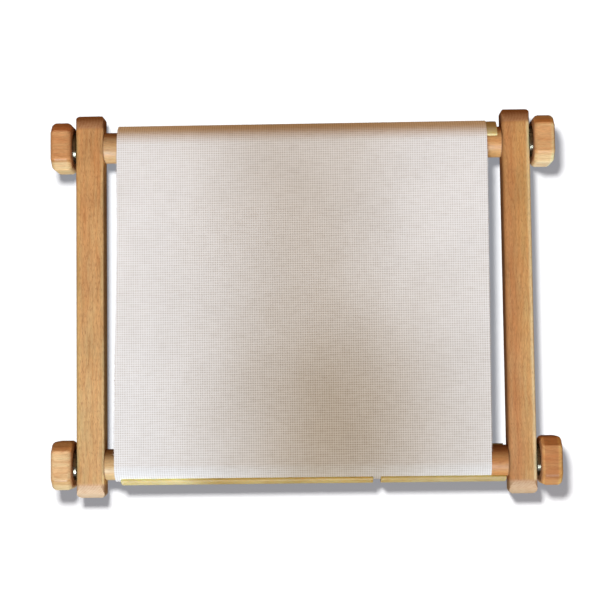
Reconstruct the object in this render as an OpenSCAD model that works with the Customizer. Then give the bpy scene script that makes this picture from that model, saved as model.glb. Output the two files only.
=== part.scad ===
// Tapestry frame: two side bars with a roller across each end, held by studs and
// square wooden knobs, and evenweave canvas stretched from roller to roller under
// split tube clips. Millimetres. X runs along the rollers, Y along the side bars
// towards the top roller, Z away from the surface that the knobs rest on.

/* [Side bars] */
// Length of each side bar
bar_length = 305; // [200:1:600]
// Width of a side bar, along the rollers
bar_width = 22; // [16:0.5:35]
// Thickness of a side bar, front to back
bar_thickness = 22; // [16:0.5:35]
// Radius on the long edges of a side bar
bar_edge_radius = 3.5; // [0.5:0.5:7]
// Radius of a side bar's corners seen from the front
bar_corner_radius = 4; // [0.5:0.5:8]
// Distance from a bar's end to the roller axis
roller_inset = 26; // [18:0.5:50]
// Diameter of the stud hole through a side bar
bar_bore = 6.2; // [4:0.1:12]

/* [Rollers] */
// Clear distance between the side bars
bar_spacing = 317; // [200:1:900]
// Diameter of a roller
roller_diameter = 24.5; // [18:0.5:40]
// Clearance between a roller's end and the side bar
roller_end_gap = 0.05; // [0.02:0.01:0.5]

/* [Studs] */
// Diameter of the stud that joins a roller to its knob
stud_diameter = 6; // [4:0.5:10]
// Depth of the stud in the roller's end, tip included
stud_depth = 25; // [15:1:40]
// Length of the stud's pointed tip
stud_tip = 4; // [2:0.5:8]
// Length of stud that enters the knob
stud_in_knob = 12; // [6:0.5:16]
// Chamfer on the stud's outer end
stud_chamfer = 0.8; // [0.2:0.1:1.5]

/* [Washers] */
// Outer diameter of a washer
washer_diameter = 25; // [14:0.5:34]
// Thickness of a washer
washer_thickness = 2.5; // [1:0.1:4]
// Diameter of a washer's hole
washer_bore = 6.2; // [4:0.1:12]

/* [Knobs] */
// Width and height of a knob
knob_size = 38; // [28:0.5:60]
// Thickness of a knob along the roller axis
knob_thickness = 16.5; // [12:0.5:30]
// Flat cut off each of a knob's four corners, measured along its sides
knob_corner_chamfer = 7.6; // [4:0.2:12]
// Chamfer on a knob's rims
knob_rim_chamfer = 2.4; // [0.5:0.1:3.5]
// Depth of the blind hole in a knob
knob_hole_depth = 14.2; // [8:0.1:20]

/* [Threaded inserts] */
// Outer diameter of the insert pressed into a knob
insert_diameter = 10; // [7:0.5:14]
// Length of the insert
insert_length = 13; // [6:0.5:16]
// Diameter of the insert's bore
insert_bore = 6.1; // [4:0.1:12]

/* [Canvas] */
// Width of the canvas along the rollers
canvas_width = 294.5; // [150:0.5:860]
// Offset of the canvas from the middle of the rollers
canvas_offset = -1.25; // [-20:0.25:20]
// Thickness of one layer of canvas
canvas_thickness = 0.7; // [0.3:0.05:1.5]
// Layers of canvas between each roller and its clips
layers_under_clip = 2; // [1:1:5]
// Clearance between the stretched canvas and the wound canvas
canvas_gap = 0.3; // [0.1:0.05:0.6]

/* [Clips] */
// Length of the long tube clip on each roller
long_clip = 198; // [60:1:240]
// Wall thickness of a clip
clip_wall = 2.8; // [1.5:0.1:4]
// Arc that a clip reaches round the roller
clip_arc = 174; // [165:1:260]
// Bare roller between the left side bar and the top clips
top_clip_left = 14; // [1:0.5:30]
// Bare roller between the top clips and the right side bar
top_clip_right = 4; // [1:0.5:30]
// Gap between the two top clips
top_clip_gap = 3; // [0.5:0.5:20]
// Angle of the top clips' front lip, from the front towards the top
top_lip_angle = 15; // [8:1:90]
// Bare roller between the left side bar and the bottom clips
bottom_clip_left = 13; // [1:0.5:30]
// Bare roller between the bottom clips and the right side bar
bottom_clip_right = 2; // [1:0.5:30]
// Gap between the two bottom clips
bottom_clip_gap = 6; // [0.5:0.5:20]
// Angle of the bottom clips' front lip, from the front towards the bottom
bottom_lip_angle = 56; // [8:1:90]

/* [Output] */
// The sub-part to draw, or all of them

/* [Hidden] */

$fn = 96;

// Height of the roller axes above the surface that the knobs rest on
axis_z = knob_size / 2;
// Distance of each roller axis from the middle of the frame
axis_y = bar_length / 2 - roller_inset;
// Inner and outer faces of the side bars
bar_inner_x = bar_spacing / 2;
bar_outer_x = bar_inner_x + bar_width;
// Inner face of the knobs
knob_inner_x = bar_outer_x + washer_thickness;
// Length of each roller
roller_length = bar_spacing - 2 * roller_end_gap;
// Radii of the wound canvas and of the clips, from the roller axis
roller_radius = roller_diameter / 2;
sleeve_radius = roller_radius + layers_under_clip * canvas_thickness;
clip_outer_radius = sleeve_radius + clip_wall;
wrap_outer_radius = clip_outer_radius + canvas_thickness;
// Distance of the stretched canvas from the top and bottom roller axes
span_top = wrap_outer_radius + canvas_gap;
span_bottom = sleeve_radius + canvas_gap;
// Slope of the stretched canvas
span_slope = asin((span_top - span_bottom) / (2 * axis_y));
span_length = 2 * axis_y * cos(span_slope);
canvas_start = canvas_offset - canvas_width / 2;
// Left ends of the clips, and the short clips' lengths, which fill the rest of each roller
top_clip_start = top_clip_left - bar_inner_x;
top_short_length = bar_spacing - top_clip_left - long_clip - top_clip_gap - top_clip_right;
bottom_clip_start = bottom_clip_left - bar_inner_x;
bottom_short_length = bar_spacing - bottom_clip_left - long_clip - bottom_clip_gap
    - bottom_clip_right;
// Angles of the ramp where the canvas passes from over the clips to under them
ramp_start = top_lip_angle + clip_arc + 8;
ramp_end = top_lip_angle + 352;
ramp_steps = 12;

wood = [0.80, 0.61, 0.41];
bar_wood = [0.76, 0.56, 0.36];
steel = [0.72, 0.73, 0.74];
brass = [0.75, 0.62, 0.33];
cloth = [0.80, 0.77, 0.72];
plastic = [0.84, 0.78, 0.58];

// A rectangle with rounded corners, centred on the origin
module rounded_rect(w, h, r) {
    square([w - 2 * r, h], center = true);
    square([w, h - 2 * r], center = true);
    for (sx = [-1, 1]) {
        for (sy = [-1, 1]) {
            translate([sx * (w / 2 - r), sy * (h / 2 - r)])
                circle(r = r);
        }
    }
}

// A rectangle with its corners cut off at 45 degrees, centred on the origin
module chamfered_rect(w, h, c) {
    polygon([
        [w / 2, h / 2 - c], [w / 2 - c, h / 2], [c - w / 2, h / 2], [-w / 2, h / 2 - c],
        [-w / 2, c - h / 2], [c - w / 2, -h / 2], [w / 2 - c, -h / 2], [w / 2, c - h / 2]
    ]);
}

// Draws a section in the Y and Z directions out to a length along X
module along_x(start, length) {
    translate([start, 0, 0])
        rotate([90, 0, 90])
            linear_extrude(height = length)
                children();
}

// Puts a piece on a roller axis at one end, its own Z pointing away from the roller
module on_axis(side, end, x) {
    translate([side * x, end * axis_y, axis_z])
        rotate([0, side * 90, 0])
            children();
}

// One side bar: rounded long edges, half-round ends and a stud hole near each end
module side_bar(side) {
    translate([side * (bar_inner_x + bar_width / 2), 0, axis_z]) {
        difference() {
            intersection() {
                rotate([90, 0, 0])
                    linear_extrude(height = bar_length + 2, center = true)
                        rounded_rect(bar_width, bar_thickness, bar_edge_radius);
                linear_extrude(height = bar_thickness + 2, center = true)
                    rounded_rect(bar_width, bar_length, bar_corner_radius);
                rotate([90, 0, 90])
                    linear_extrude(height = bar_width + 2, center = true)
                        bar_side();
            }
            for (end = [-1, 1]) {
                translate([0, end * axis_y, 0])
                    rotate([0, 90, 0])
                        cylinder(d = bar_bore, h = bar_width + 2, center = true);
            }
        }
    }
}

// Side view of a bar: straight, with half-round ends
module bar_side() {
    square([bar_length - bar_thickness, bar_thickness], center = true);
    for (end = [-1, 1]) {
        translate([end * (bar_length - bar_thickness) / 2, 0])
            circle(d = bar_thickness);
    }
}

// The part of a stud that sits in the roller's end, drawn inwards from z = 0
module stud_root() {
    translate([0, 0, -(stud_depth - stud_tip)])
        cylinder(d = stud_diameter, h = stud_depth - stud_tip);
    translate([0, 0, -stud_depth])
        cylinder(d1 = 1, d2 = stud_diameter, h = stud_tip);
}

// A roller with a stud hole in each end
module roller(end) {
    difference() {
        translate([-roller_length / 2, end * axis_y, axis_z])
            rotate([0, 90, 0])
                cylinder(d = roller_diameter, h = roller_length);
        for (side = [-1, 1]) {
            on_axis(side, end, roller_length / 2)
                stud_root();
        }
    }
}

// A stud from the roller's end through the bar and the washer into the knob
module stud(side, end) {
    reach = knob_inner_x - roller_length / 2 + stud_in_knob;
    on_axis(side, end, roller_length / 2) {
        stud_root();
        cylinder(d = stud_diameter, h = reach - stud_chamfer);
        translate([0, 0, reach - stud_chamfer])
            cylinder(d1 = stud_diameter, d2 = stud_diameter - 2 * stud_chamfer, h = stud_chamfer);
    }
}

module washer(side, end) {
    on_axis(side, end, bar_outer_x) {
        difference() {
            cylinder(d = washer_diameter, h = washer_thickness);
            translate([0, 0, -1])
                cylinder(d = washer_bore, h = washer_thickness + 2);
        }
    }
}

// A pair of a knob's opposite sides, across apart, with both rims chamfered
module knob_sides(across, turn) {
    rotate([90, 0, turn])
        linear_extrude(height = 2 * knob_size, center = true)
            translate([0, knob_thickness / 2])
                chamfered_rect(across, knob_thickness, knob_rim_chamfer);
}

// A square knob with flat-cut corners, chamfered rims and a blind hole in its inner face
module knob(side, end) {
    diagonal = sqrt(2) * (knob_size - knob_corner_chamfer);
    on_axis(side, end, knob_inner_x) {
        difference() {
            intersection() {
                knob_sides(knob_size, 0);
                knob_sides(knob_size, 90);
                knob_sides(diagonal, 45);
                knob_sides(diagonal, 135);
            }
            translate([0, 0, -1])
                cylinder(d = insert_diameter, h = knob_hole_depth + 1);
        }
    }
}

module insert(side, end) {
    on_axis(side, end, knob_inner_x) {
        difference() {
            cylinder(d = insert_diameter, h = insert_length);
            translate([0, 0, -1])
                cylinder(d = insert_bore, h = insert_length + 2);
        }
    }
}

// A ring between two radii
module ring(inner, outer) {
    difference() {
        circle(r = outer);
        circle(r = inner);
    }
}

// Section of a clip: an open ring with round lips, seen along the roller
module clip_section(lip_angle) {
    mid = (sleeve_radius + clip_outer_radius) / 2;
    difference() {
        ring(sleeve_radius, clip_outer_radius);
        polygon(concat([[0, 0]], [for (i = [0:4])
            let (a = lip_angle - i * (360 - clip_arc) / 4)
            3 * clip_outer_radius * [sin(a), cos(a)]]));
    }
    for (a = [lip_angle, lip_angle + clip_arc]) {
        translate([mid * sin(a), mid * cos(a)])
            circle(r = clip_wall / 2);
    }
}

// A clip on the top (end = 1) or bottom (end = -1) roller
module clip(end, start, length, lip_angle) {
    along_x(start, length)
        translate([end * axis_y, axis_z])
            scale([end, 1])
                clip_section(lip_angle);
}

// The stretched canvas, a flat sheet from roller to roller
module canvas_sheet() {
    translate([canvas_start, -axis_y, axis_z])
        rotate([span_slope, 0, 0])
            translate([0, 0, span_bottom])
                cube([canvas_width, span_length, canvas_thickness]);
}

// The ramp that carries the canvas from over the clips to under them
module wrap_ramp() {
    outer = clip_outer_radius;
    inner = sleeve_radius - canvas_thickness;
    angles = [for (i = [0:ramp_steps]) ramp_start + i * (ramp_end - ramp_start) / ramp_steps];
    radii = [for (i = [0:ramp_steps]) outer + i * (inner - outer) / ramp_steps];
    polygon(concat(
        [for (i = [0:ramp_steps]) [radii[i] * sin(angles[i]), radii[i] * cos(angles[i])]],
        [for (i = [ramp_steps:-1:0]) (radii[i] + canvas_thickness) * [sin(angles[i]), cos(angles[i])]]
    ));
}

// The canvas wound on the top roller: layers under the clips and one over them
module top_wrap() {
    along_x(canvas_start, canvas_width)
        translate([axis_y, axis_z]) {
            ring(roller_radius, sleeve_radius);
            ring(clip_outer_radius, wrap_outer_radius);
            wrap_ramp();
        }
}

// The canvas wound on the bottom roller, all of it under the clips
module bottom_wrap() {
    along_x(canvas_start, canvas_width)
        translate([-axis_y, axis_z])
            ring(roller_radius, sleeve_radius);
}

module left_side_bar() color(bar_wood) side_bar(-1);
module right_side_bar() color(bar_wood) side_bar(1);
module canvas() color(cloth) canvas_sheet();
module top_roller() color(wood) roller(1);
module bottom_roller() color(wood) roller(-1);
module top_long_clip() color(plastic) clip(1, top_clip_start, long_clip, top_lip_angle);
module top_short_clip() color(plastic)
    clip(1, top_clip_start + long_clip + top_clip_gap, top_short_length, top_lip_angle);
module bottom_long_clip() color(plastic)
    clip(-1, bottom_clip_start, long_clip, bottom_lip_angle);
module bottom_short_clip() color(plastic)
    clip(-1, bottom_clip_start + long_clip + bottom_clip_gap, bottom_short_length,
        bottom_lip_angle);
module canvas_top_wrap() color(cloth) top_wrap();
module canvas_bottom_wrap() color(cloth) bottom_wrap();
module top_left_stud() color(steel) stud(-1, 1);
module top_right_stud() color(steel) stud(1, 1);
module bottom_left_stud() color(steel) stud(-1, -1);
module bottom_right_stud() color(steel) stud(1, -1);
module top_left_washer() color(steel) washer(-1, 1);
module top_right_washer() color(steel) washer(1, 1);
module bottom_left_washer() color(steel) washer(-1, -1);
module bottom_right_washer() color(steel) washer(1, -1);
module top_left_knob() color(wood) knob(-1, 1);
module top_right_knob() color(wood) knob(1, 1);
module bottom_left_knob() color(wood) knob(-1, -1);
module bottom_right_knob() color(wood) knob(1, -1);
module top_left_insert() color(brass) insert(-1, 1);
module top_right_insert() color(brass) insert(1, 1);
module bottom_left_insert() color(brass) insert(-1, -1);
module bottom_right_insert() color(brass) insert(1, -1);

left_side_bar();
right_side_bar();
canvas();
top_roller();
bottom_roller();
top_long_clip();
top_short_clip();
bottom_long_clip();
bottom_short_clip();
canvas_top_wrap();
canvas_bottom_wrap();
top_left_stud();
top_right_stud();
bottom_left_stud();
bottom_right_stud();
top_left_washer();
top_right_washer();
bottom_left_washer();
bottom_right_washer();
top_left_knob();
top_right_knob();
bottom_left_knob();
bottom_right_knob();
top_left_insert();
top_right_insert();
bottom_left_insert();
bottom_right_insert();
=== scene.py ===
"""Looks of the tapestry frame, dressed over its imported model.

Sizes are millimetres in the part's own frame, unless a docstring says otherwise. Meshes are
in metres.
"""

import logging
import math
from dataclasses import dataclass
from enum import Enum

import bpy
from mathutils import Euler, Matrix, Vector


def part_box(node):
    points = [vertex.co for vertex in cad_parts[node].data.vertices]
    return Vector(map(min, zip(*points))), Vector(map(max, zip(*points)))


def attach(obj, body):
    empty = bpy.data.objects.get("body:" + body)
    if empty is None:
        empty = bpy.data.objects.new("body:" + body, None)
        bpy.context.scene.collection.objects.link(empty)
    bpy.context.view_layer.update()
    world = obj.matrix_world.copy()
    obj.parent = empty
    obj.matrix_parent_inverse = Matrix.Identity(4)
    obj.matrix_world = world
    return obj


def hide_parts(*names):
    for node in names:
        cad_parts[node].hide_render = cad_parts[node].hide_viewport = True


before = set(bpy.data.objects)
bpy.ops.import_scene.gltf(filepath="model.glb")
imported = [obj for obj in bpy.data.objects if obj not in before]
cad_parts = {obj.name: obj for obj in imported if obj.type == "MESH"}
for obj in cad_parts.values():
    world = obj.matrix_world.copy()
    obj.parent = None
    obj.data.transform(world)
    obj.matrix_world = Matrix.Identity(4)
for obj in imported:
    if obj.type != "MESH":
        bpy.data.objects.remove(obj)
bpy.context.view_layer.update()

LOG = logging.getLogger("tapestry_frame")
MM = 0.001
PER_METRE = 1000.0

Triple = tuple[float, float, float]
Colour = Triple
Socket = bpy.types.NodeSocket
Sockets = bpy.types.bpy_prop_collection

WHITE = (1.0, 1.0, 1.0)
ORIGIN = (0.0, 0.0, 0.0)
NUMBER, WHOLE = "NodeSocketFloat", "NodeSocketInt"
VECTOR, COLOUR = "NodeSocketVector", "NodeSocketColor"


def srgb(red: float, green: float, blue: float) -> Colour:
    """Turns a display colour, 0 to 255, into the linear values that shaders take.

    Args:
        red: Red on the display.
        green: Green on the display.
        blue: Blue on the display.

    Returns:
        The linear colour.
    """
    def linear(level: float) -> float:
        """Undoes the display curve for one channel."""
        share = level / 255
        return share / 12.92 if share <= 0.04045 else ((share + 0.055) / 1.055) ** 2.4

    return linear(red), linear(green), linear(blue)


class GrainAxis(Enum):
    """The way a turned or planed piece of beech was cut out of the plank."""

    ALONG_X = (0.0, 0.0, 0.0)
    ALONG_Y = (0.0, 0.0, -math.pi / 2)


class Side(Enum):
    """Left or right side of the frame, by the sign of X."""

    LEFT = -1
    RIGHT = 1


class End(Enum):
    """Top or bottom roller, by the sign of Y."""

    TOP = 1
    BOTTOM = -1


def corner_name(side: Side, end: End, what: str) -> str:
    """Names a corner's node or body, such as top_left_knob."""
    return f"{end.name}_{side.name}_{what}".lower()


class Graph:
    """A short way to wire the nodes of one tree."""

    def __init__(self, tree: bpy.types.NodeTree) -> None:
        """Starts on a tree, which may already hold nodes."""
        self.tree = tree

    def feed(self, socket: Socket, value: object) -> None:
        """Links a socket's source, or sets its constant.

        Args:
            socket: The input to fill.
            value: Another socket, or the constant.
        """
        if isinstance(value, bpy.types.NodeSocket):
            self.tree.links.new(value, socket)
            return
        if socket.type == "RGBA" and len(value) == 3:
            value = (*value, 1.0)
        socket.default_value = value

    def add(self, kind: str, inputs: dict | None = None, **settings: object) -> bpy.types.Node:
        """Adds a node.

        Args:
            kind: The node's type name.
            inputs: Values or sockets by input name or number.
            settings: The node's own properties.

        Returns:
            The node.
        """
        node = self.tree.nodes.new(kind)
        for key, value in settings.items():
            setattr(node, key, value)
        for key, value in (inputs or {}).items():
            self.feed(node.inputs[key], value)
        return node

    def math(self, operation: str, *values: object, clamp: bool = False) -> Socket:
        """Adds a Math node.

        Args:
            operation: What it works out.
            values: Its inputs in order.
            clamp: Whether the result is kept from 0 to 1.

        Returns:
            The result.
        """
        node = self.add("ShaderNodeMath", dict(enumerate(values)), operation=operation,
                        use_clamp=clamp)
        return node.outputs[0]

    def chain(self, operation: str, values: tuple[object, ...], clamp: bool) -> Socket:
        """Works numbers together one after the other.

        Args:
            operation: What joins each number to the result of those before it.
            values: The numbers, at least two.
            clamp: Whether the last result is kept from 0 to 1.

        Returns:
            The last result.
        """
        result, *middle, last = values
        for value in middle:
            result = self.math(operation, result, value)
        return self.math(operation, result, last, clamp=clamp)

    def plus(self, *values: object, clamp: bool = False) -> Socket:
        """Adds numbers up."""
        return self.chain("ADD", values, clamp)

    def minus(self, *values: object, clamp: bool = False) -> Socket:
        """Takes the other numbers from the first."""
        return self.chain("SUBTRACT", values, clamp)

    def times(self, *values: object, clamp: bool = False) -> Socket:
        """Multiplies numbers."""
        return self.chain("MULTIPLY", values, clamp)

    def vector(self, operation: str, *values: object) -> Socket:
        """Adds a Vector Math node.

        Args:
            operation: What it works out.
            values: Its inputs in order; for SCALE the second is the factor.

        Returns:
            The vector, or the number that LENGTH gives.
        """
        inputs = dict(enumerate(values))
        if operation == "SCALE":
            inputs = {0: values[0], "Scale": values[1]}
        node = self.add("ShaderNodeVectorMath", inputs, operation=operation)
        return node.outputs["Value" if operation == "LENGTH" else "Vector"]

    def split(self, vector: Socket) -> tuple[Socket, Socket, Socket]:
        """Splits a vector into X, Y and Z."""
        return tuple(self.add("ShaderNodeSeparateXYZ", {0: vector}).outputs)

    def join(self, x: object, y: object, z: object) -> Socket:
        """Makes a vector of X, Y and Z."""
        return self.add("ShaderNodeCombineXYZ", {0: x, 1: y, 2: z}).outputs[0]

    def grey(self, level: Socket) -> Socket:
        """Makes a grey of one level."""
        return self.join(level, level, level)

    def span(self, value: object, low: float, high: float, start: float = 0.0,
             stop: float = 1.0) -> Socket:
        """Maps a range smoothly onto another.

        Args:
            value: The number to map.
            low: Where the result is start.
            high: Where the result is stop.
            start: The result at low.
            stop: The result at high.

        Returns:
            The mapped number.
        """
        inputs = {"Value": value, "From Min": low, "From Max": high,
                  "To Min": start, "To Max": stop}
        node = self.add("ShaderNodeMapRange", inputs, interpolation_type="SMOOTHSTEP")
        return node.outputs["Result"]

    def blend(self, factor: object, first: object, second: object, how: str = "MIX") -> Socket:
        """Mixes two colours.

        Args:
            factor: Share of the second.
            first: Colour at 0.
            second: Colour at 1.
            how: The mixing rule.

        Returns:
            The mixed colour.
        """
        inputs = {0: factor, 6: first, 7: second}
        return self.add("ShaderNodeMix", inputs, data_type="RGBA", blend_type=how).outputs[2]

    def tinted(self, colour: object, tint: object) -> Socket:
        """Multiplies a colour by another."""
        return self.blend(1.0, colour, tint, "MULTIPLY")

    def noise(self, vector: Socket, scale: float = 1.0, detail: float = 2.0,
              roughness: float = 0.5) -> Socket:
        """Adds fractal noise.

        Args:
            vector: Where it is read.
            scale: Cycles for each unit of the vector.
            detail: Octaves.
            roughness: How strong the finer octaves are.

        Returns:
            A number round 0.5.
        """
        inputs = {"Vector": vector, "Scale": scale, "Detail": detail, "Roughness": roughness}
        return self.add("ShaderNodeTexNoise", inputs).outputs["Fac"]

    def streaks(self, vector: Socket, cycles: Triple, detail: float = 2.0,
                roughness: float = 0.5) -> Socket:
        """Adds noise with its own number of cycles each way, which draws it out in streaks."""
        return self.noise(self.vector("MULTIPLY", vector, cycles), 1.0, detail, roughness)

    def moved(self, place: Socket, way: Triple, seed: Socket) -> Socket:
        """Turns metres into millimetres and moves them along by a seed.

        Args:
            place: The place in metres.
            way: How far a seed of 1 moves it.
            seed: The seed.

        Returns:
            The place in millimetres.
        """
        return self.vector("ADD", self.vector("SCALE", place, PER_METRE),
                           self.vector("SCALE", way, seed))

    def bent(self, vector: Socket, scale: float, reach: float) -> Socket:
        """Bends a place to and fro, so that straight streaks waver.

        Args:
            vector: The place.
            scale: Cycles of bending for each unit.
            reach: How far it bends.

        Returns:
            The bent place.
        """
        wander = self.add("ShaderNodeTexNoise", {"Vector": vector, "Scale": scale})
        return self.vector("ADD", vector, self.vector("SCALE", wander.outputs["Color"], reach))


class Effect:
    """A shader node group that several materials share."""

    label: str = ""
    inputs: dict[str, tuple[str, object]] = {}
    outputs: dict[str, str] = {}

    def __init__(self) -> None:
        """Builds the group once, with its named sockets."""
        self.tree = bpy.data.node_groups.new(self.label, "ShaderNodeTree")
        for name, (kind, default) in self.inputs.items():
            socket = self.tree.interface.new_socket(name, in_out="INPUT", socket_type=kind)
            socket.default_value = default
        for name, kind in self.outputs.items():
            self.tree.interface.new_socket(name, in_out="OUTPUT", socket_type=kind)
        graph = Graph(self.tree)
        given = graph.add("NodeGroupInput")
        result = graph.add("NodeGroupOutput")
        for name, socket in self.wire(graph, given.outputs).items():
            self.tree.links.new(socket, result.inputs[name])

    def wire(self, g: Graph, given: Sockets) -> dict[str, Socket]:
        """Wires the group; each effect has its own.

        Args:
            g: The group's graph.
            given: The group's inputs.

        Returns:
            The sockets that feed the named outputs.
        """
        raise NotImplementedError

    def use(self, g: Graph, **values: object) -> Sockets:
        """Places the group in a material.

        Args:
            g: The material's graph.
            values: Input values, with _ for a space in the name.

        Returns:
            The placed group's outputs.
        """
        node = g.add("ShaderNodeGroup", node_tree=self.tree)
        for key, value in values.items():
            g.feed(node.inputs[key.replace("_", " ")], value)
        return node.outputs


class BeechGrain(Effect):
    """Long grain of beech: growth bands, fibres and the short dark ray flecks."""

    label = "beech_grain"
    inputs = {
        "Position": (VECTOR, ORIGIN),
        "Seed": (NUMBER, 0.0),
        "Pale": (COLOUR, (0.7, 0.45, 0.25, 1.0)),
        "Late": (COLOUR, (0.6, 0.32, 0.15, 1.0)),
        "Ray": (COLOUR, (0.35, 0.17, 0.08, 1.0)),
        "Bands": (NUMBER, 0.5),
        "Flecks": (NUMBER, 0.5),
    }
    outputs = {"Colour": COLOUR, "Height": NUMBER, "Roughness": NUMBER}

    # Cycles for each millimetre along the grain and across it.
    drift_cycles = (0.015, 0.07, 0.07)
    broad_cycles = (0.02, 0.45, 0.45)
    fibre_cycles = (0.24, 1.8, 1.8)
    fleck_cycles = (0.20, 1.5, 1.5)
    ruddy_cycles = (0.03, 0.22, 0.22)
    # How steeply the growth rings lie in the piece, and how closely.
    ring_slant = (0.34, 0.21)
    ring_turns = 4.2

    def wire(self, g: Graph, given: Sockets) -> dict[str, Socket]:
        """Wires bands, fibres and flecks, all drawn out along the grain.

        Args:
            g: The group's graph.
            given: The group's inputs.

        Returns:
            The grain's colour, height and roughness.
        """
        mm = g.moved(given["Position"], (137.1, 71.3, 53.7), given["Seed"])
        _, y, z = g.split(mm)
        drift = g.streaks(mm, self.drift_cycles, 3.0)
        broad = g.streaks(mm, self.broad_cycles)
        fibre = g.streaks(mm, self.fibre_cycles, 3.0, 0.6)
        across = g.plus(g.times(y, self.ring_slant[0]), g.times(z, self.ring_slant[1]))
        wave = g.times(g.plus(across, g.times(drift, 8.0)), self.ring_turns)
        ring = g.span(g.math("SINE", wave), 0.35, 1.0)
        tone = g.plus(g.span(drift, 0.35, 0.65, 0.0, 0.55),
                      g.span(broad, 0.35, 0.65, 0.0, 0.45), clamp=True)
        late = g.times(g.plus(g.times(ring, 0.75), tone), 0.7, given["Bands"], clamp=True)
        bent = g.vector("MULTIPLY", g.bent(mm, 0.11, 5.0), self.fleck_cycles)
        cells = g.add("ShaderNodeTexVoronoi", {"Vector": bent, "Scale": 1.0}).outputs
        present = g.span(g.split(cells["Color"])[0], 0.3, 0.6)
        fleck = g.times(g.span(cells["Distance"], 0.55, 0.10), present, given["Flecks"])
        ruddy = g.streaks(mm, self.ruddy_cycles, 3.0)
        warm = g.join(*[g.span(ruddy, 0.3, 0.7, start, stop)
                        for start, stop in ((1.0, 1.03), (1.04, 0.93), (1.06, 0.88))])
        colour = g.blend(late, given["Pale"], given["Late"])
        colour = g.tinted(colour, g.grey(g.span(fibre, 0.3, 0.7, 0.87, 1.11)))
        colour = g.tinted(colour, warm)
        return {"Colour": g.blend(fleck, colour, given["Ray"]),
                "Height": g.minus(fibre, g.times(fleck, 0.8)),
                "Roughness": g.plus(0.40, g.times(g.plus(fibre, fleck), 0.13))}


class SawnEnd(Effect):
    """End grain as the saw leaves it: pores, rays across the rings and saw lines."""

    label = "sawn_end"
    inputs = {
        "Position": (VECTOR, ORIGIN),
        "Pale": (COLOUR, (0.8, 0.6, 0.4, 1.0)),
        "Late": (COLOUR, (0.6, 0.35, 0.2, 1.0)),
    }
    outputs = {"Colour": COLOUR, "Height": NUMBER}

    # Turns of the saw's lines for each millimetre each way, in radians.
    saw_slant = (1.6, 2.6, 3.0)
    ray_cycles = (1.2, 0.25, 2.4)

    def wire(self, g: Graph, given: Sockets) -> dict[str, Socket]:
        """Wires pores, rays and slanting saw lines on the plane across the grain.

        Args:
            g: The group's graph.
            given: The group's inputs.

        Returns:
            The end grain's colour and height.
        """
        mm = g.vector("SCALE", given["Position"], PER_METRE)
        pores = g.add("ShaderNodeTexVoronoi", {"Vector": mm, "Scale": 3.2})
        pore = g.span(pores.outputs["Distance"], 0.34, 0.12)
        slant = g.plus(*[g.times(place, turns)
                         for place, turns in zip(g.split(mm), self.saw_slant)])
        saw = g.math("SINE", g.plus(slant, g.times(g.noise(mm, 0.4), 3.0)))
        rays = g.streaks(mm, self.ray_cycles)
        late = g.plus(g.span(rays, 0.35, 0.7, 0.0, 0.5), g.times(pore, 0.35),
                      g.times(saw, 0.22), clamp=True)
        return {"Colour": g.blend(late, given["Pale"], given["Late"]),
                "Height": g.minus(g.times(saw, 0.5), pore)}


class RubbedEdge(Effect):
    """Where hands and neighbours rub a block's edges: a broken mask near them."""

    label = "rubbed_edge"
    inputs = {
        "Position": (VECTOR, ORIGIN),
        "Centre": (VECTOR, ORIGIN),
        "Half Size": (VECTOR, (0.01, 0.01, 0.01)),
        "Width": (NUMBER, 0.002),
    }
    outputs = {"Mask": NUMBER}

    def wire(self, g: Graph, given: Sockets) -> dict[str, Socket]:
        """Wires nearness to two faces at once into a mask, and breaks it up.

        Args:
            g: The group's graph.
            given: The group's inputs.

        Returns:
            The mask.
        """
        offset = g.vector("ABSOLUTE", g.vector("SUBTRACT", given["Position"], given["Centre"]))
        inset = g.vector("SUBTRACT", given["Half Size"], offset)
        near = [g.minus(1.0, g.math("DIVIDE", gap, given["Width"]), clamp=True)
                for gap in g.split(inset)]
        pairs = [g.times(near[a], near[b]) for a, b in ((0, 1), (1, 2), (0, 2))]
        patches = g.noise(g.vector("SCALE", given["Position"], PER_METRE), 0.35, 3.0)
        return {"Mask": g.times(g.chain("MAXIMUM", tuple(pairs), False),
                                g.span(patches, 0.3, 0.7, 0.35, 1.0))}


class Handling(Effect):
    """Broad soft marks of handling and dust, for colour and gloss."""

    label = "handling"
    inputs = {
        "Position": (VECTOR, ORIGIN),
        "Size": (NUMBER, 20.0),
        "Seed": (NUMBER, 0.0),
    }
    outputs = {"Tone": COLOUR, "Gloss": NUMBER, "Scratch": NUMBER}

    def wire(self, g: Graph, given: Sockets) -> dict[str, Socket]:
        """Wires a broad tone, a gloss change and fine scratches.

        Args:
            g: The group's graph.
            given: The group's inputs.

        Returns:
            The tone, the gloss change and the scratches' mask.
        """
        mm = g.moved(given["Position"], (91.7, 33.1, 17.9), given["Seed"])
        near = g.vector("SCALE", mm, g.math("DIVIDE", 1.0, given["Size"]))
        tone = g.span(g.noise(near, 1.0, 3.0), 0.3, 0.7, 0.93, 1.05)
        hair = g.streaks(g.bent(mm, 0.08, 14.0), (0.5, 4.0, 4.0), 1.0)
        off_hair = g.math("ABSOLUTE", g.minus(hair, 0.5))
        return {"Tone": g.grey(tone),
                "Gloss": g.span(g.noise(near, 2.3, 4.0), 0.3, 0.75, -0.06, 0.10),
                "Scratch": g.span(off_hair, 0.018, 0.0)}


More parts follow.
